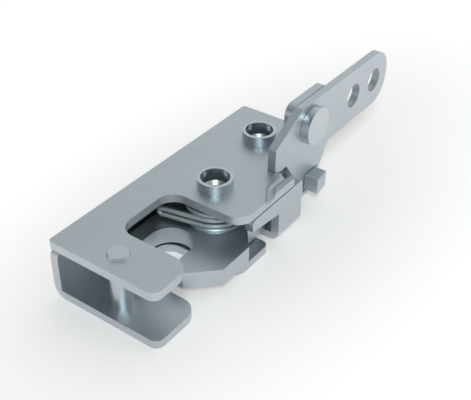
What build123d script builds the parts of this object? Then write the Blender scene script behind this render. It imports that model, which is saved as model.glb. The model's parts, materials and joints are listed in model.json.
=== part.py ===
"""Concealed rotary latch with a side trigger lever: two plates, rotor, pawl, lever and springs."""
import os
from math import atan2, cos, radians, sin

from build123d import *

# All sizes are in millimetres. Points are measured from the plate's front right corner:
# x runs towards the lever end, y towards the folded wall and z up from the underside.

# Sheet and plates
sheet = 2.0
plate_length = 67.0
plate_width = 27.5
inner_gap = 10.3
front_corner = 2.0
small_corner = 0.8
wall_corner = 2.5
bend_inside = 0.5
wall_bend_outside = 3.0

# Throat in both plates
throat_front = 10.85
throat_width = 16.7
throat_depth = 19.0
throat_radius = 4.0
lower_throat_inset = 2.1

# Pivot bushes
cam_x = 34.7
cam_y = 12.25
pawl_dx = 21.8
pawl_dy = 3.45
bush_bore = 3.25
bush_spigot = 4.0
bush_shoulder = 5.0
bush_stand = 2.3
bush_rim = 0.25

# Front post
post_x = 5.0
post_y = 13.3
post_radius = 2.4
tenon_radius = 1.9
post_head = 0.35
post_head_taper = 0.45

# Ear that is bent up from the top plate
ear_face = 6.7
ear_start = 55.9
ear_over = 3.3
ear_height = 11.2
ear_corner = 2.5

# Cut-away for the lever, and the channel that sets off the strip in front of it
notch_gap = 0.1
strip_end = 47.2
strip_width = 4.4
strip_tip = 1.0
channel_radius = 1.0
channel_start = 36.6
channel_turn = 41.6
channel_line = 2.3
channel_bend = 5.0

# Housing: side wall, arm and cut-aways
side_start = 41.7
side_end = 51.0
side_gap = 0.35
arm_start = 31.5
arm_tip_height = 2.9
arm_root_height = 4.1
arm_corner = 1.4
relief_start = 38.1
relief_depth = 6.0
relief_corner = 1.8
tail_cut_depth = 8.7

# Moving plates
washer_thickness = 0.5
washer_radius = 6.2
moving_thickness = 4.0
running_gap = 0.05
hub_radius = 6.6
hub_height = 0.7
hub_chamfer = 0.3

# Rotor
throat_u_x = 21.1
throat_u_y = 14.1
throat_u_radius = 5.0
rotor_disc = 9.0
finger_tip = 14.6
finger_edge = -0.3
finger_corner = 29.8
arm_tip = 15.5
arm_width = 3.9
lobe_edge_x = 34.0
lobe_edge_y = 3.1
lobe_corner_x = 44.3
lobe_corner_y = 3.7
flank_length = 3.5
finger_slope = 3.4
finger_shoulder = 20.6
finger_round = 0.8
edge_round = 0.4

# Pawl
pawl_hub = 7.0
catch_depth = 0.8
catch_lead = 10.5
nose_width = 1.6
tail_start = 59.7
tail_width = 4.65
tail_reach = 0.8
tail_slope = 0.6

# Lever
lever_gap = 0.05
lever_thickness = 2.0
lever_pivot_x = 61.2
lever_pivot_z = 19.8
lever_height = 5.6
lever_left = 14.7
lever_end = 37.3
lever_end_radius = 6.5
lever_drop = 8.6
lever_hole_radius = 3.0
lever_hole_first = 20.0
lever_hole_pitch = 10.4
lever_hole_drop = 1.5
prong_gap = 0.2
hook_length = 3.5
hook_lean = 1.0
shoulder = 10.8
shoulder_round = 1.5
wing_length = 4.8
wing_drop = 6.4
neck_drop = 11.3
neck_lean = 4.7
foot_lean = 1.5
fork_right = 5.1
fork_reach = 1.25
fork_space = 1.0
lever_edge_round = 0.5
hook_gap = 1.0
fork_gap = 0.15
foot_clear = 0.4

# Lever rivet
rivet_head_radius = 4.6
rivet_head_height = 2.0
rivet_shank_radius = 2.5
rivet_tail_radius = 3.2
rivet_tail_height = 0.8

# Springs
wire = 1.2
wire_sides = 8
coil_steps = 16
coil_radius = 6.3
coil_pitch = 1.25
hook_angle = 192.0
hook_leg = 9.8
hook_rise = 1.55
spring_clear = 0.15
rotor_low_turns = 0.75
rotor_high_turns = 1.7
pawl_turns = 2.4
short_leg = 5.0

# Heights and positions that follow from the sizes above
top_under = sheet + inner_gap
top_face = top_under + sheet
pawl_x = cam_x + pawl_dx
pawl_y = cam_y + pawl_dy
moving_low = sheet + washer_thickness
moving_top = moving_low + moving_thickness
hub_top = moving_top + hub_height
lever_back = ear_face - lever_gap
lever_front = lever_back - lever_thickness
lever_edge = lever_pivot_x - lever_left
notch_start = lever_edge - notch_gap
ear_back = ear_face + sheet
ear_top = top_face + ear_height
side_top = top_under - side_gap
throat_back = throat_front + throat_width
to_frame = Location((-cam_x, -cam_y, 0))


def outline(points):
    """Closed face from (x, y, corner radius) points."""
    corners = [(x, y) for x, y, radius in points]
    radii = [radius for x, y, radius in points]
    return make_face(FilletPolyline(*corners, radius=radii, close=True))


def flat(points, low, high):
    """Plate from a plan outline between two heights."""
    return Pos(0, 0, low) * extrude(outline(points), amount=high - low)


def upright(points, front, back):
    """Plate from an (x, z) outline between two y values."""
    face = Plane.XZ.offset(-back) * outline(points)
    return extrude(face, amount=back - front)


def rod(x, y, radius, low, high):
    """Upright cylinder between two heights."""
    return Pos(x, y, (low + high) / 2) * Cylinder(radius, high - low)


def cross_rod(x, z, radius, front, back):
    """Cylinder along y between two y values."""
    return Pos(x, (front + back) / 2, z) * Rot(90, 0, 0) * Cylinder(radius, back - front)


def wire_bar(start, end):
    """Straight length of wire between two points."""
    along = Vector(*end) - Vector(*start)
    return Plane(Vector(*start), z_dir=along) * extrude(Circle(wire / 2), amount=along.length)


def wire_coil(x, y, low, turns, start_angle):
    """Winding that climbs anticlockwise from an angle and a height, in flat steps for few facets."""
    steps = round(turns * coil_steps)
    points = []
    for step in range(steps + 1):
        turned = turns * step / steps
        angle = radians(start_angle + 360 * turned)
        points.append((coil_radius * cos(angle), coil_radius * sin(angle), coil_pitch * turned))
    path = Polyline(*points)
    section = Plane(path @ 0, z_dir=path % 0) * RegularPolygon(wire / 2, wire_sides)
    return Pos(x, y, low) * sweep(section, path=path, transition=Transition.RIGHT)


def tangent_leg(x, y, z, angle, length, way):
    """Straight leg that leaves a winding at an angle, forwards (1) or backwards (-1)."""
    start = (x + coil_radius * cos(radians(angle)), y + coil_radius * sin(radians(angle)), z)
    step = (-sin(radians(angle)) * way * length, cos(radians(angle)) * way * length)
    end = (start[0] + step[0], start[1] + step[1], z)
    return start, end


def throat(front, back):
    """Open slot in the plate outline, from the back mouth corner round to the front one."""
    return [
        (back, 0, throat_radius),
        (back, throat_depth, throat_radius),
        (front, throat_depth, throat_radius),
        (front, 0, throat_radius),
    ]


# Top plate with the throat, the lever cut-away, the ear and the strip's channel
strip_edge = channel_line - channel_radius
plate_outline = [
    (0, 0, front_corner),
    (0, plate_width, small_corner),
    (plate_length, plate_width, small_corner),
    (plate_length, ear_back, 0),
    (ear_start, ear_back, 0),
    (ear_start, ear_face, 0),
    (notch_start, ear_face, 0),
    (notch_start, strip_width, 0),
    (strip_end, strip_width, 0),
    (strip_end, strip_edge, 0),
    (strip_end + strip_tip, strip_edge, 0),
    (strip_end, 0, 0),
]
top_plate = flat(plate_outline + throat(throat_front, throat_back), top_under, top_face)

bend_outside = bend_inside + sheet
ear_profile = [
    (ear_back + 2 * bend_inside, top_under, 0),
    (ear_face, top_under, bend_outside),
    (ear_face, ear_top, 0),
    (ear_back, ear_top, 0),
    (ear_back, top_face, bend_inside),
    (ear_back + 2 * bend_inside, top_face, 0),
]
ear_blank = Pos(ear_start, 0, 0) * extrude(
    Plane.YZ * outline(ear_profile), amount=plate_length + ear_over - ear_start
)
ear_side = upright(
    [
        (ear_start, top_under, 0),
        (ear_start, ear_top, ear_corner),
        (plate_length + ear_over, ear_top, small_corner),
        (plate_length + ear_over, top_face + bend_inside, small_corner),
        (plate_length, top_face + bend_inside, 0),
        (plate_length, top_under, 0),
    ],
    ear_face,
    ear_back + 2 * bend_inside,
)
top_plate += ear_blank & ear_side

channel_path = Plane.XY.offset(top_face) * FilletPolyline(
    (channel_start - channel_radius, -channel_line / 2),
    (channel_turn, channel_line),
    (strip_end + 2 * strip_tip, channel_line),
    radius=channel_bend,
)
top_plate -= sweep(
    Plane(channel_path @ 0, z_dir=channel_path % 0) * Circle(channel_radius), path=channel_path
)

top_plate -= rod(cam_x, cam_y, bush_spigot, top_under, top_face)
top_plate -= rod(pawl_x, pawl_y, bush_spigot, top_under, top_face)
top_plate -= rod(post_x, post_y, tenon_radius, top_under, top_face)
top_plate -= cross_rod(lever_pivot_x, lever_pivot_z, rivet_shank_radius, ear_face, ear_back)

# Housing folded from one sheet: floor, wall on the far side, short wall and arm on the near side
floor_outline = [
    (0, 0, front_corner),
    (0, plate_width, small_corner),
    (plate_length, plate_width, small_corner),
    (plate_length, tail_cut_depth, small_corner),
    (side_end, tail_cut_depth, small_corner),
    (side_end, 0, 0),
    (side_start, 0, 0),
    (side_start, relief_depth, 0),
    (relief_start, relief_depth, small_corner),
    (relief_start, 0, relief_corner),
]
floor_throat = throat(throat_front + lower_throat_inset, throat_back - lower_throat_inset)
housing = flat(floor_outline + floor_throat, 0, sheet)

far_wall = upright(
    [
        (0, 0, 0),
        (0, top_under, wall_corner),
        (plate_length, top_under, small_corner),
        (plate_length, 0, 0),
    ],
    plate_width - sheet,
    plate_width,
)
housing += far_wall
far_bend = Pos(plate_length / 2, plate_width, 0) * Rot(0, 90, 0) * (
    Box(2 * wall_bend_outside, 2 * wall_bend_outside, plate_length)
    - Pos(-wall_bend_outside, -wall_bend_outside, 0) * Cylinder(wall_bend_outside, plate_length)
)
housing -= far_bend

near_wall = upright(
    [
        (side_start, 0, 0),
        (side_start, side_top - arm_root_height, 0),
        (arm_start, side_top - arm_tip_height, 0),
        (arm_start, side_top, arm_corner),
        (side_end, side_top, small_corner),
        (side_end, 0, 0),
    ],
    0,
    sheet,
)
housing += near_wall
side_length = side_end - side_start
near_bend = Pos(side_start + side_length / 2, 0, 0) * Rot(0, 90, 0) * (
    Box(2 * bend_outside, 2 * bend_outside, side_length)
    - Pos(-bend_outside, bend_outside, 0) * Cylinder(bend_outside, side_length)
)
housing -= near_bend

housing -= rod(cam_x, cam_y, bush_spigot, 0, sheet)
housing -= rod(pawl_x, pawl_y, bush_spigot, 0, sheet)
housing -= rod(post_x, post_y, tenon_radius, 0, sheet)


def pivot_bush(x, y):
    """Shouldered sleeve that spaces the plates and stands proud of the top one."""
    bush = rod(x, y, bush_spigot, 0, top_face + bush_stand)
    bush += rod(x, y, bush_shoulder, sheet, top_under)
    bush -= rod(x, y, bush_bore, 0, top_face + bush_stand)
    return chamfer(bush.edges().group_by(Axis.Z)[-1], bush_rim)


cam_bush = pivot_bush(cam_x, cam_y)
pawl_bush = pivot_bush(pawl_x, pawl_y)

# Front post, riveted over both plates
front_post = rod(post_x, post_y, tenon_radius, 0, top_face)
front_post += rod(post_x, post_y, post_radius, sheet, top_under)
front_post += Pos(post_x, post_y, top_face + post_head / 2) * Cone(
    bottom_radius=post_radius, top_radius=post_radius - post_head_taper, height=post_head
)


def washer(x, y):
    """Thin washer between the floor and a moving plate."""
    ring = rod(x, y, washer_radius, sheet, moving_low)
    return ring - rod(x, y, bush_shoulder, sheet, moving_low)


rotor_washer = washer(cam_x, cam_y)
pawl_washer = washer(pawl_x, pawl_y)


def hub(x, y):
    """Raised hub of a moving plate, with its bright chamfered rim."""
    boss = rod(x, y, hub_radius, moving_top, hub_top)
    return chamfer(boss.edges().group_by(Axis.Z)[-1], hub_chamfer)


# Rotor: striker throat, holding finger, rear arm, and the lobe that the pawl catches
pawl_angle = atan2(pawl_y - lobe_corner_y, pawl_x - lobe_corner_x)
flank_x = lobe_corner_x - flank_length * sin(pawl_angle)
flank_y = lobe_corner_y + flank_length * cos(pawl_angle)
arm_inside = throat_u_y + throat_u_radius
finger_inside = throat_u_y - throat_u_radius
rotor_outline = [
    (finger_tip, arm_inside - throat_u_radius, 0),
    (finger_tip, finger_inside - finger_slope, finger_round),
    (finger_shoulder, finger_edge, finger_round),
    (finger_corner, finger_edge, edge_round),
    (lobe_edge_x, lobe_edge_y, edge_round),
    (lobe_corner_x, lobe_corner_y, edge_round),
    (flank_x, flank_y, edge_round),
    (cam_x + rotor_disc, cam_y, 2.0),
    (cam_x, arm_inside + arm_width, 5.0),
    (arm_tip, arm_inside + arm_width, 1.2),
    (arm_tip, arm_inside - throat_u_radius, 0),
]
rotor = flat(rotor_outline, moving_low, moving_top)
rotor += rod(cam_x, cam_y, rotor_disc, moving_low, moving_top)
u_slot = rod(throat_u_x, throat_u_y, throat_u_radius, moving_low, moving_top)
u_slot += flat(
    [
        (0, finger_inside, 0),
        (throat_u_x, finger_inside, 0),
        (throat_u_x, arm_inside, 0),
        (0, arm_inside, 0),
    ],
    moving_low,
    moving_top,
)
rotor -= u_slot
rotor += hub(cam_x, cam_y)
rotor -= rod(cam_x, cam_y, bush_shoulder + running_gap, moving_low, hub_top)

# Pawl: nose in front of the rotor's lobe, tail in the lever's fork
lobe_reach = ((lobe_corner_x - cam_x) ** 2 + (lobe_corner_y - cam_y) ** 2) ** 0.5
nose_angle = atan2(lobe_corner_y - cam_y, lobe_corner_x - cam_x) + radians(catch_lead)
nose_x = cam_x + (lobe_reach - catch_depth) * cos(nose_angle)
nose_y = cam_y + (lobe_reach - catch_depth) * sin(nose_angle)
nose_aim = atan2(pawl_y - nose_y, pawl_x - nose_x)
nose_out_x = nose_x + nose_width * sin(nose_aim)
nose_out_y = nose_y - nose_width * cos(nose_aim)
pawl = flat(
    [
        (nose_x, nose_y, 0.2),
        (nose_out_x, nose_out_y, 0.3),
        (pawl_x, pawl_y - pawl_hub, 3.0),
        (pawl_x, pawl_y, 0),
        (pawl_x - pawl_hub, pawl_y, 3.0),
    ],
    moving_low,
    moving_top,
)
tail_end = tail_start + tail_width
pawl += flat(
    [
        (tail_start, tail_reach, 0.2),
        (tail_end, tail_reach + tail_slope, 0.2),
        (tail_end, pawl_y - pawl_hub, 1.5),
        (pawl_x + pawl_hub, pawl_y, 0),
        (pawl_x, pawl_y, 0),
        (tail_start, pawl_y - pawl_hub, 0),
    ],
    moving_low,
    moving_top,
)
pawl += rod(pawl_x, pawl_y, pawl_hub, moving_low, moving_top)
pawl += hub(pawl_x, pawl_y)
pawl -= rod(pawl_x, pawl_y, bush_shoulder + running_gap, moving_low, hub_top)

# Lever: plate with the arm, and a fork below that takes the pawl's tail
lever_top = lever_pivot_z + lever_height
arm_low = lever_pivot_z - lever_drop
right = lever_pivot_x + lever_end
prong = tail_start - prong_gap
fork_top = moving_top + fork_gap
hook_top = moving_low - hook_gap
lever = upright(
    [
        (lever_edge, lever_pivot_z - wing_drop, lever_edge_round),
        (lever_edge + prong_gap, lever_pivot_z, lever_edge_round),
        (lever_edge + shoulder, lever_top, shoulder_round),
        (right, lever_top, lever_end_radius),
        (right, arm_low, lever_end_radius),
        (lever_pivot_x + lever_drop, arm_low, lever_edge_round),
        (lever_pivot_x + fork_right, fork_top - fork_reach, 0),
        (tail_end + fork_space, fork_top - fork_reach, 0),
        (tail_end + fork_space, fork_top, 0),
        (prong, fork_top, prong_gap),
        (prong, hook_top, prong_gap),
        (prong + hook_length, hook_top, 0),
        (prong + hook_length - hook_lean, foot_clear, 0),
        (prong - foot_lean, foot_clear + lever_edge_round, prong_gap),
        (prong - neck_lean, lever_pivot_z - neck_drop, lever_edge_round),
        (lever_edge + wing_length, lever_pivot_z - wing_drop, lever_edge_round),
    ],
    lever_front,
    lever_back,
)
hole_x = lever_pivot_x + lever_hole_first
hole_z = lever_pivot_z - lever_hole_drop
lever -= cross_rod(hole_x, hole_z, lever_hole_radius, lever_front, lever_back)
lever -= cross_rod(hole_x + lever_hole_pitch, hole_z, lever_hole_radius, lever_front, lever_back)
lever -= cross_rod(
    lever_pivot_x, lever_pivot_z, rivet_shank_radius + running_gap, lever_front, lever_back
)

# Rivet with the wide flat head: fixed in the ear, the lever turns on its shank
head_back = lever_front - lever_gap
lever_rivet = cross_rod(
    lever_pivot_x, lever_pivot_z, rivet_head_radius, head_back - rivet_head_height, head_back
)
lever_rivet += cross_rod(lever_pivot_x, lever_pivot_z, rivet_shank_radius, head_back, ear_back)
lever_rivet += cross_rod(
    lever_pivot_x, lever_pivot_z, rivet_tail_radius, ear_back, ear_back + rivet_tail_height
)

# Rotor spring: two windings joined by a hairpin that lies along the rotor's rear arm
low_wire = hub_top + spring_clear + wire / 2
high_wire = low_wire + hook_rise
hairpin_path = (
    Line((0, 0, 0), (hook_leg, 0, 0))
    + ThreePointArc(
        (hook_leg, 0, 0), (hook_leg + hook_rise / 2, 0, hook_rise / 2), (hook_leg, 0, hook_rise)
    )
    + Line((hook_leg, 0, hook_rise), (0, 0, hook_rise))
)
hairpin = sweep(Plane.YZ * RegularPolygon(wire / 2, wire_sides), path=hairpin_path)
hairpin_place = Pos(0, 0, low_wire) * Rot(0, 0, hook_angle) * Pos(coil_radius, 0, 0) * Rot(0, 0, -90)
rotor_spring = wire_coil(0, 0, low_wire, rotor_low_turns, hook_angle)
rotor_spring += wire_coil(0, 0, high_wire, rotor_high_turns, hook_angle)
rotor_spring += hairpin_place * hairpin
rotor_spring = Pos(cam_x, cam_y, 0) * rotor_spring

# Pawl spring: a winding round the bush with a short leg at each end
pawl_wire = low_wire
leg_angle = 60.0
first, first_end = tangent_leg(pawl_x, pawl_y, pawl_wire, leg_angle, short_leg, -1)
last_angle = leg_angle + 360.0 * pawl_turns
last_z = pawl_wire + coil_pitch * pawl_turns
last, last_end = tangent_leg(pawl_x, pawl_y, last_z, last_angle, short_leg, 1)
pawl_spring = wire_coil(pawl_x, pawl_y, pawl_wire, pawl_turns, leg_angle)
pawl_spring += wire_bar(first, first_end)
pawl_spring += wire_bar(last, last_end)

os.makedirs("parts", exist_ok=True)
nodes = {
    "top_plate": top_plate,
    "housing": housing,
    "cam_bush": cam_bush,
    "pawl_bush": pawl_bush,
    "front_post": front_post,
    "rotor_washer": rotor_washer,
    "pawl_washer": pawl_washer,
    "rotor": rotor,
    "pawl": pawl,
    "lever": lever,
    "lever_rivet": lever_rivet,
    "rotor_spring": rotor_spring,
    "pawl_spring": pawl_spring,
}
for name, shape in nodes.items():
    export_step(to_frame * shape, f"parts/{name}.step")
    print(name, round(shape.volume, 1), len(shape.solids()), shape.is_valid)
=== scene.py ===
import json
import math

import bmesh
import bpy
import numpy as np
from mathutils import Matrix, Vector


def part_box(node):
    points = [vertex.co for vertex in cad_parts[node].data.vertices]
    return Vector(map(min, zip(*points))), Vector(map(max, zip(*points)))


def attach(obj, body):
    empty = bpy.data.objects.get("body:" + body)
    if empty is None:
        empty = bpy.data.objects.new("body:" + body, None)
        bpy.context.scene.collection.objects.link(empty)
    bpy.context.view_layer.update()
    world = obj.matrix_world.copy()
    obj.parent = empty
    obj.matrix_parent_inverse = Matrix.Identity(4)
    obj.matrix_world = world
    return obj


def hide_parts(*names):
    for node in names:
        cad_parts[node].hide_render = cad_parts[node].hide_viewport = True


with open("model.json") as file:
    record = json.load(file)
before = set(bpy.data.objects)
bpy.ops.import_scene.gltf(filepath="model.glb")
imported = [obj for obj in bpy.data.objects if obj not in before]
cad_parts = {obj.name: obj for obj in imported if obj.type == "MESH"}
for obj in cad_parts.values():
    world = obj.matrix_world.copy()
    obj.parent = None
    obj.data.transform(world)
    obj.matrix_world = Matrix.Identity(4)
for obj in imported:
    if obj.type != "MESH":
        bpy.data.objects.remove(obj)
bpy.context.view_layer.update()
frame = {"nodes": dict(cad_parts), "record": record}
bodyOf = {node: body for body, group in frame["record"]["behaviour"]["bodies"].items() for node in group}
slotOf = {part["node"]: part["material_slot"] for part in frame["record"]["subparts"]}
print("frame loaded:", len(frame["nodes"]), "nodes")

mm = 0.001  # the dictionaries below are in millimetres and degrees unless they say otherwise


def boxOf(node):  # the node's lowest and highest corners in millimetres, to the nearest thousandth
    return [np.round(np.array(corner) / mm, 3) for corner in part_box(node)]


floorTop = boxOf("rotor_washer")[0][2]  # the washer lies on the housing's floor
topUnder = boxOf("housing")[1][2]  # the top plate lies on the housing's walls
topFace = topUnder + floorTop  # both plates are equally thick


# Colours, nodes, objects and skins

def linear(hexColour):
    # Each part c of an sRGB colour made linear: c / 12.92 near black, and else (c + 0.055) / 1.055 to the
    # power 2.4.
    parts = [int(hexColour[i:i + 2], 16) / 255 for i in (1, 3, 5)]
    return [c / 12.92 if c <= 0.04045 else ((c + 0.055) / 1.055) ** 2.4 for c in parts] + [1.0]


def addNode(tree, kind, settings=None, links=None):  # one node, its settings, and the sockets that feed it
    node = tree.nodes.new(kind)
    for key, value in (settings or {}).items():
        if isinstance(key, int) or key in node.inputs:
            node.inputs[key].default_value = value
        else:
            setattr(node, key, value)
    for key, source in (links or {}).items():
        tree.links.new(source, node.inputs[key])
    return node


def ramp(tree, source, given, wanted):
    # The value carried in proportion from the given span onto the wanted one, and held at its ends
    return addNode(tree, "ShaderNodeMapRange",
                   {"From Min": given[0], "From Max": given[1], "To Min": wanted[0], "To Max": wanted[1]},
                   {"Value": source}).outputs["Result"]


def newMaterial(name):  # a material with its node tree and its one shader
    material = bpy.data.materials.new(name)
    material.use_nodes = True
    return material, material.node_tree, material.node_tree.nodes["Principled BSDF"]


def newObject(name, data):  # a mesh, light or camera put into the scene, at the origin
    item = bpy.data.objects.new(name, data)
    bpy.context.collection.objects.link(item)
    return item


def skin(name, rings, closed):
    # Rings of points, with a quad between each two neighbours and the two above them. A closed skin joins its
    # last ring to its first, and an open one has a flat cap at each end.
    index = np.arange(rings.shape[0] * rings.shape[1]).reshape(rings.shape[:2])
    above = np.roll(index, -1, 0)
    quads = np.stack([index, np.roll(index, -1, 1), np.roll(above, -1, 1), above], -1)
    faces = (quads if closed else quads[:-1]).reshape(-1, 4).tolist()
    if not closed:
        faces += [index[0, ::-1].tolist(), index[-1].tolist()]
    mesh = bpy.data.meshes.new(name)
    mesh.from_pydata((rings.reshape(-1, 3) * mm).tolist(), [], faces)
    mesh.shade_smooth()
    return mesh


# Metals

# For each slot: the colours and the roughness that its clouds run between, the width of the clouds and of the
# grain, the height of the grain, and how many times the grain is squeezed along each axis
finishes = {
    # Clear-passivated zinc on cold-rolled sheet: satin and faintly blue, its grain drawn out along the plates
    "zinc_sheet": {
        "name": "zincPlatedRolledSheet", "bright": "#c4c9cf", "dull": "#c0c6cc",
        "rough": (0.44, 0.46), "cloud": 9.0, "grain": 0.35, "relief": 0.001, "squeeze": (1, 3, 1)},
    # The same zinc on plate that was stamped flat: a touch smoother, and the grain runs no way in particular
    "zinc_stamping": {
        "name": "zincPlatedStampedPlate", "bright": "#c4cad0", "dull": "#bec5cb",
        "rough": (0.42, 0.44), "cloud": 6.0, "grain": 0.35, "relief": 0.0005, "squeeze": (1, 1, 1)},
    # Zinc on turned steel: brighter, with a tighter gloss and fine level rings from the tool
    "zinc_turned": {
        "name": "zincPlatedTurnedSteel", "bright": "#cacfd4", "dull": "#c5cbd0",
        "rough": (0.29, 0.31), "cloud": 4.0, "grain": 0.3, "relief": 0.001, "squeeze": (1, 1, 6)},
    # Bare bright shim: a plain grey that is darker than the zinc beside it, partly for the bare steel and
    # partly as painted shade on the washers under the coils
    "steel_shim": {
        "name": "brightSteelShim", "bright": "#a9adb0", "dull": "#979b9f",
        "rough": (0.5, 0.55), "cloud": 3.0, "grain": 0.3, "relief": 0.002, "squeeze": (1, 1, 1)},
    # Hard-drawn wire: even and rather dull, so that each turn carries one soft streak of light
    "spring_wire": {
        "name": "hardDrawnSpringWire", "bright": "#bfc4c8", "dull": "#b8bcc0",
        "rough": (0.54, 0.56), "cloud": 3.0, "grain": 0.25, "relief": 0.001, "squeeze": (1, 1, 1)},
}
texture = {
    "noiseSpan": (0.3, 0.7),  # the noise's values that stand for its two ends
    "cloudDetail": 3.0,
    "cloudRoughness": 0.5,
    "grainDetail": 4.0,
    "grainRoughness": 0.6,
    "bump": 0.25,
}


def metal(name, bright, dull, rough, cloud, grain, relief, squeeze):
    # Clouds of brighter and duller metal, some millimetres wide, over the fine grain that rolling, stamping,
    # turning or drawing left in the steel. The real grain is a few hundredths of a millimetre wide, and it is
    # drawn several times as coarse so that it can show at all.
    material, tree, shader = newMaterial(name)
    where = addNode(tree, "ShaderNodeTexCoord").outputs["Object"]
    squeezed = addNode(tree, "ShaderNodeMapping", {"Scale": squeeze}, {"Vector": where}).outputs["Vector"]
    clouds = addNode(tree, "ShaderNodeTexNoise",
                     {"Scale": 1 / (cloud * mm), "Detail": texture["cloudDetail"],
                      "Roughness": texture["cloudRoughness"]}, {"Vector": where}).outputs["Fac"]
    grains = addNode(tree, "ShaderNodeTexNoise",
                     {"Scale": 1 / (grain * mm), "Detail": texture["grainDetail"],
                      "Roughness": texture["grainRoughness"]}, {"Vector": squeezed}).outputs["Fac"]
    colour = addNode(tree, "ShaderNodeMix", {"data_type": "RGBA", "A": linear(bright), "B": linear(dull)},
                     {"Factor": ramp(tree, clouds, texture["noiseSpan"], (0.0, 1.0))})
    bump = addNode(tree, "ShaderNodeBump", {"Strength": texture["bump"], "Distance": relief * mm},
                   {"Height": grains})
    tree.links.new(colour.outputs["Result"], shader.inputs["Base Color"])
    tree.links.new(ramp(tree, clouds, texture["noiseSpan"], rough), shader.inputs["Roughness"])
    tree.links.new(bump.outputs["Normal"], shader.inputs["Normal"])
    shader.inputs["Metallic"].default_value = 1.0
    return material


materials = {slot: metal(**finish) for slot, finish in finishes.items()}
print("materials ready:", len(materials))


# Plates and moving pieces

def dress(piece, node):  # the piece takes the node's body, its place in the part and its finish
    piece.data.materials.clear()
    piece.data.materials.append(materials[slotOf[node]])
    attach(piece, bodyOf[node])
    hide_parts(node)
    return piece


edgeRadius = {  # how round tumbling leaves the edges of each piece
    "top_plate": 0.06,
    "housing": 0.06,
    "lever": 0.04,
    "rotor": 0.05,
    "pawl": 0.08,
    "lever_rivet": 0.02,
    "rotor_washer": 0.05,
    "pawl_washer": 0.05,
}
tumbling = {
    "merge": 0.002,  # corners of the solid's triangles closer than this are one point
    "flat": 0.4,  # triangles whose slopes differ by less are one face
    "sharp": 32.0,  # edges that turn by more are rounded
    "segments": 3,
    "largeFaces": 100,  # at 100 the large faces alone set the normals
}


def tumbled(node, radius):  # a copy of the solid's mesh, merged, with every sharp edge rounded to the radius
    mesh = frame["nodes"][node].data.copy()
    work = bmesh.new()
    work.from_mesh(mesh)
    bmesh.ops.remove_doubles(work, verts=work.verts, dist=tumbling["merge"] * mm)
    bmesh.ops.dissolve_limit(work, angle_limit=math.radians(tumbling["flat"]),
                             verts=work.verts, edges=work.edges)
    work.to_mesh(mesh)
    work.free()
    mesh.shade_smooth()
    piece = newObject(node + "_tumbled", mesh)
    bevel = piece.modifiers.new("tumbledEdge", "BEVEL")
    bevel.width = radius * mm
    bevel.segments = tumbling["segments"]
    bevel.limit_method = "ANGLE"
    bevel.angle_limit = math.radians(tumbling["sharp"])
    flatten = piece.modifiers.new("flatFaces", "WEIGHTED_NORMAL")
    flatten.mode = "FACE_AREA"
    flatten.weight = tumbling["largeFaces"]
    return dress(piece, node)


for node, radius in edgeRadius.items():
    tumbled(node, radius)
print("plates and moving pieces dressed")


# Bushes and post

def axisOf(node, radius):  # where an upright round node stands; its circle has a corner at its highest X
    low, high = boxOf(node)
    return np.round([high[0] - radius, (low[1] + high[1]) / 2], 3)


def turned(node, centre, profile, closed, sides=96):
    # A profile of radii and heights carried round an upright axis: a point is the centre plus its radius
    # times (cosine, sine) of the turn. Each face keeps the normal of its own stretch of the profile, which is
    # (rise, -run) over that stretch's length, so the wall is smooth all round and each turned edge is crisp.
    profile = np.array(profile)
    count = len(profile)
    turn = np.linspace(0, 2 * np.pi, sides, endpoint=False)
    around = np.stack([np.cos(turn), np.sin(turn)], 1)
    rings = np.empty((count, sides, 3))
    rings[..., :2] = centre + profile[:, 0, None, None] * around
    rings[..., 2] = profile[:, 1, None]
    step = np.roll(profile, -1, 0) - profile
    slope = np.stack([step[:, 1], -step[:, 0]], 1) / np.linalg.norm(step, axis=1)[:, None]
    corners = np.stack([around, np.roll(around, -1, 0), np.roll(around, -1, 0), around], 1)
    normals = np.concatenate([slope[:, 0, None, None, None] * corners,
                              np.broadcast_to(slope[:, 1, None, None, None], (count, sides, 4, 1))], -1)
    normals = (normals if closed else normals[:-1]).reshape(-1, 3).tolist()
    if not closed:
        normals += [[0.0, 0.0, -1.0]] * sides + [[0.0, 0.0, 1.0]] * sides
    mesh = skin(node + "_turned", rings, closed)
    mesh.normals_split_custom_set(normals)
    return dress(newObject(node + "_turned", mesh), node)


bush = {
    "bore": 3.25,  # these four are radii
    "core": 2.5,
    "outside": 4.0,
    "shoulder": 5.0,
    "leadIn": 3.1,  # depth below the top where the bore starts to narrow
    "coreEnd": 6.0,  # depth below the top where the core opens to the bore again
}
bushTop = boxOf("cam_bush")[1][2]
coneFoot = bush["leadIn"] + bush["bore"] - bush["core"]  # a 45 degree cone goes as far down as it goes in
bushProfile = [  # outwards under the foot, up the outside past the shoulder, and down the bore
    (bush["bore"], 0.0),
    (bush["outside"], 0.0),
    (bush["outside"], floorTop),
    (bush["shoulder"], floorTop),
    (bush["shoulder"], topUnder),
    (bush["outside"], topUnder),
    (bush["outside"], bushTop),
    (bush["bore"], bushTop),
    (bush["bore"], bushTop - bush["leadIn"]),
    (bush["core"], bushTop - coneFoot),
    (bush["core"], bushTop - bush["coreEnd"]),
    (bush["bore"], bushTop - bush["coreEnd"]),
]
camCentre = axisOf("cam_bush", bush["shoulder"])
pawlCentre = axisOf("pawl_bush", bush["shoulder"])
turned("cam_bush", camCentre, bushProfile, True)
turned("pawl_bush", pawlCentre, bushProfile, True)

post = {
    "tenon": 1.9,  # radius in the plates' holes
    "wall": 2.4,  # radius between the plates, and of the head's foot
    "headRadius": 2.08,  # radius of the head's flat top
    "headTop": 14.85,
}
postProfile = [  # up the outside, with the riveted head above the top plate
    (post["tenon"], 0.0),
    (post["tenon"], floorTop),
    (post["wall"], floorTop),
    (post["wall"], topUnder),
    (post["tenon"], topUnder),
    (post["tenon"], topFace),
    (post["wall"], topFace),
    (post["headRadius"], post["headTop"]),
]
turned("front_post", axisOf("front_post", post["wall"]), postProfile, False)
print("bushes and post turned")


# Springs

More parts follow.
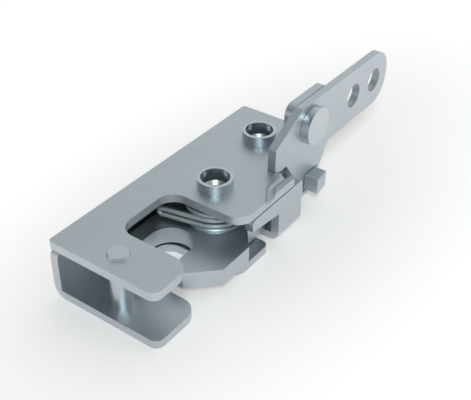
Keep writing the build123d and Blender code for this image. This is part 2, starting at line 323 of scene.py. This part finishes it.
springWire = {  # what both springs share
    "thick": 1.2,
    "coil": 6.3,  # radius of a turn, at the middle of the wire
    "pitch": 1.25,  # height gained in one turn
    "low": 7.95,  # height where the lowest turns start
}


def wire(name, line, normals, sides=20):
    # A circle carried along a line: a point is the line's point plus the wire's radius times the circle,
    # which is the cosine of the turn times the normal plus its sine times the binormal. The binormal is the
    # tangent crossed with the normal.
    tangents = np.gradient(line, axis=0)
    tangents /= np.linalg.norm(tangents, axis=1)[:, None]
    binormals = np.cross(tangents, normals)
    binormals /= np.linalg.norm(binormals, axis=1)[:, None]
    turn = np.linspace(0, 2 * np.pi, sides, endpoint=False)
    circle = (np.cos(turn)[None, :, None] * normals[:, None, :]
              + np.sin(turn)[None, :, None] * binormals[:, None, :])
    rings = line[:, None, :] + springWire["thick"] / 2 * circle
    return newObject(name, skin(name, rings, False))


def winding(centre, low, turns, startAngle, steps):
    # A helix and its outward normals: at each angle, the coil's radius out from the centre, and higher by the
    # pitch for each full turn.
    angle = np.radians(startAngle) + np.linspace(0, turns * 2 * np.pi, steps)
    normals = np.stack([np.cos(angle), np.sin(angle), np.zeros(steps)], 1)
    line = normals * springWire["coil"]
    line[:, :2] += centre
    line[:, 2] = low + springWire["pitch"] * np.linspace(0, turns, steps)
    return line, normals


def straight(start, end, normal, steps=30):  # even steps from one point to another, all with one normal
    line = start + (end - start) * np.linspace(0, 1, steps)[:, None]
    return line, np.repeat(normal[None], steps, 0)


rotorSpring = {
    "rise": 1.55,  # from the hairpin's lower leg to its upper one
    "leg": 9.8,
    "hook": 192.0,  # where the hairpin leaves the turns
    "lowTurns": 0.75,
    "lowSteps": 150,
    "highTurns": 1.7,
    "highSteps": 260,
    "bendSteps": 24,
}


def hairpinSpring():
    # One wire: the low winding backwards to its tangent, the leg out, a half turn up, the leg back along its
    # tangent, and the high winding.
    lowLine, lowNormals = winding(camCentre, springWire["low"], rotorSpring["lowTurns"], rotorSpring["hook"],
                                  rotorSpring["lowSteps"])
    highLine, highNormals = winding(camCentre, springWire["low"] + rotorSpring["rise"],
                                    rotorSpring["highTurns"], rotorSpring["hook"], rotorSpring["highSteps"])
    side = lowNormals[0]
    along = np.array([side[1], -side[0], 0.0])
    upward = np.array([0, 0, 1.0])
    start, end = lowLine[0], highLine[0]
    reach = along * rotorSpring["leg"]
    bend = np.linspace(-np.pi / 2, np.pi / 2, rotorSpring["bendSteps"] + 2)[1:-1, None]
    halfCircle = rotorSpring["rise"] / 2 * (np.cos(bend) * along + np.sin(bend) * upward)
    turnOver = (start + end) / 2 + reach + halfCircle
    legOut, legOutNormals = straight(start, start + reach, side)
    legBack, legBackNormals = straight(end + reach, end, side)
    line = np.concatenate([lowLine[:0:-1], legOut, turnOver, legBack, highLine[1:]])
    turnNormals = np.repeat(side[None], rotorSpring["bendSteps"], 0)
    normals = np.concatenate([lowNormals[:0:-1], legOutNormals, turnNormals, legBackNormals, highNormals[1:]])
    return wire("rotor_spring_wire", line, normals)


pawlSpring = {
    "start": 60.0,  # where the lower leg meets the turns
    "turns": 2.4,
    "steps": 320,
    "leg": 5.0,
}


def pawlReturnSpring():  # one winding with a leg along the tangent at each end
    line, normals = winding(pawlCentre, springWire["low"], pawlSpring["turns"], pawlSpring["start"],
                            pawlSpring["steps"])
    first = line[0] + pawlSpring["leg"] * np.array([normals[0, 1], -normals[0, 0], 0.0])
    last = line[-1] + pawlSpring["leg"] * np.array([-normals[-1, 1], normals[-1, 0], 0.0])
    legIn, legInNormals = straight(first, line[0], normals[0])
    legOut, legOutNormals = straight(line[-1], last, normals[-1])
    return wire("pawl_spring_wire", np.concatenate([legIn[:-1], line, legOut[1:]]),
                np.concatenate([legInNormals[:-1], normals, legOutNormals[1:]]))


dress(hairpinSpring(), "rotor_spring")
dress(pawlReturnSpring(), "pawl_spring")
print("springs wound")


# Floor

paperSweep = {
    "colour": "#fcf5f4",
    "halfWidth": 3000.0,
    "roughness": 0.9,
    "specular": 0.1,
    "paintedShadeGlow": (0.24, 0.44),  # glow strength in the oval of painted shade under the part, and far from it
    "paintedShadeWidths": (22.0, 58.0),  # half widths across the part where the painted shade starts to fade and has gone
    "squeeze": 0.45,  # lengths along the part count only this much, so the oval is longer than it is wide
    "shift": 6.8,  # how far the oval lies towards the lever's end, counted after the squeeze
}
halfWidth = paperSweep["halfWidth"] * mm
floorMesh = bpy.data.meshes.new("floor")
floorMesh.from_pydata([(-halfWidth, -halfWidth, 0), (halfWidth, -halfWidth, 0), (halfWidth, halfWidth, 0),
                       (-halfWidth, halfWidth, 0)], [], [(0, 1, 2, 3)])
floor = newObject("floor", floorMesh)
# Matt white paper that gives off a little even light, and less of it close to the part, which paints a soft
# shade under the part
paper, paperTree, paperShader = newMaterial("mattPaperSweep")
paperShader.inputs["Base Color"].default_value = linear(paperSweep["colour"])
paperShader.inputs["Roughness"].default_value = paperSweep["roughness"]
paperShader.inputs["Specular IOR Level"].default_value = paperSweep["specular"]
paperShader.inputs["Emission Color"].default_value = linear(paperSweep["colour"])
oval = addNode(paperTree, "ShaderNodeMapping",
               {"Location": (-paperSweep["shift"] * mm, 0, 0), "Scale": (paperSweep["squeeze"], 1, 1)},
               {"Vector": addNode(paperTree, "ShaderNodeTexCoord").outputs["Object"]})
away = addNode(paperTree, "ShaderNodeVectorMath", {"operation": "LENGTH"}, {"Vector": oval.outputs["Vector"]})
# The glow is dimmed near the part: painted shade under it, not shade cast by the lamps
paintedShadeGlow = ramp(paperTree, away.outputs["Value"], [edge * mm for edge in paperSweep["paintedShadeWidths"]], paperSweep["paintedShadeGlow"])
paperTree.links.new(paintedShadeGlow, paperShader.inputs["Emission Strength"])
floorMesh.materials.append(paper)


# Light

def direction(turn, lift):
    # The unit vector at one angle round from the X axis and one up from the floor: (cos turn times cos lift,
    # sin turn times cos lift, sin lift)
    turn, lift = math.radians(turn), math.radians(lift)
    return np.array([math.cos(turn) * math.cos(lift), math.sin(turn) * math.cos(lift), math.sin(lift)])


room = {
    "bright": "#f1f8f7",
    "dim": "#3f4a51",
    "strength": 0.9,
    "wallTurn": 2,  # where the middle of the bright wall stands
    "wallLift": 15,
    "wallSpan": (-0.5, 0.9),  # cosines of the angle to that middle where the wall is dimmest and brightest
    "band": (0.1, 0.5),  # sines of the height where the band near the floor starts to dim and has gone
}
world = bpy.data.worlds.new("paleStudio")
bpy.context.scene.world = world
world.use_nodes = True
worldTree = world.node_tree
background = worldTree.nodes["Background"]
# The room is bright round one wall and dims with the angle away from it. A band near the floor is bright all
# round, and the brighter of the two counts.
look = addNode(worldTree, "ShaderNodeTexCoord").outputs["Generated"]
facing = addNode(worldTree, "ShaderNodeVectorMath",
                 {"operation": "DOT_PRODUCT", 1: direction(room["wallTurn"], room["wallLift"])}, {0: look})
height = addNode(worldTree, "ShaderNodeSeparateXYZ", None, {"Vector": look})
lit = addNode(worldTree, "ShaderNodeMath", {"operation": "MAXIMUM"},
              {0: ramp(worldTree, facing.outputs["Value"], room["wallSpan"], (0.0, 1.0)),
               1: ramp(worldTree, height.outputs["Z"], room["band"], (1.0, 0.0))})
roomColour = addNode(worldTree, "ShaderNodeMix",
                     {"data_type": "RGBA", "A": linear(room["dim"]), "B": linear(room["bright"])},
                     {"Factor": lit.outputs["Value"]})
worldTree.links.new(roomColour.outputs["Result"], background.inputs["Color"])
background.inputs["Strength"].default_value = room["strength"]

keyLight = {
    "colour": "#e8fcfb",
    "power": 13.0,  # watts
    "size": 0.6,  # metres
    "far": 2.0,  # metres
    "turn": 217,
    "lift": 49,
}


def softbox(name, colour, power, size, far, turn, lift):
    # A round lamp that far from the origin, with its back pointing straight away from it
    light = bpy.data.lights.new(name, "AREA")
    light.shape = "DISK"
    light.size = size
    light.energy = power
    light.color = linear(colour)[:3]
    place = direction(turn, lift) * far
    back = place / np.linalg.norm(place)
    across = np.cross([0.0, 1.0, 0.01], back)  # for a round lamp any direction across it will do
    across /= np.linalg.norm(across)
    lamp = newObject(name, light)
    stance = np.eye(4)
    stance[:3] = np.stack([across, np.cross(back, across), back, place], 1)
    lamp.matrix_world = Matrix(stance.tolist())


softbox("keyBox", **keyLight)


# Camera

viewpoint = {  # where the photograph was taken from
    "place": (-0.117889, -0.088874, 0.116998),  # metres
    "turn": (54.1848, -0.5520, -54.2964),
    "lens": 63.638,
    "sensor": 36.0,
    "near": 0.01,  # metres
    "far": 20.0,  # metres
}
camera = newObject("camera", bpy.data.cameras.new("camera"))
camera.data.sensor_width = viewpoint["sensor"]
camera.data.lens = viewpoint["lens"]
camera.data.clip_start = viewpoint["near"]
camera.data.clip_end = viewpoint["far"]
camera.location = viewpoint["place"]
camera.rotation_euler = [math.radians(angle) for angle in viewpoint["turn"]]
bpy.context.scene.camera = camera
bpy.context.scene.view_settings.view_transform = "Standard"
print("studio ready")
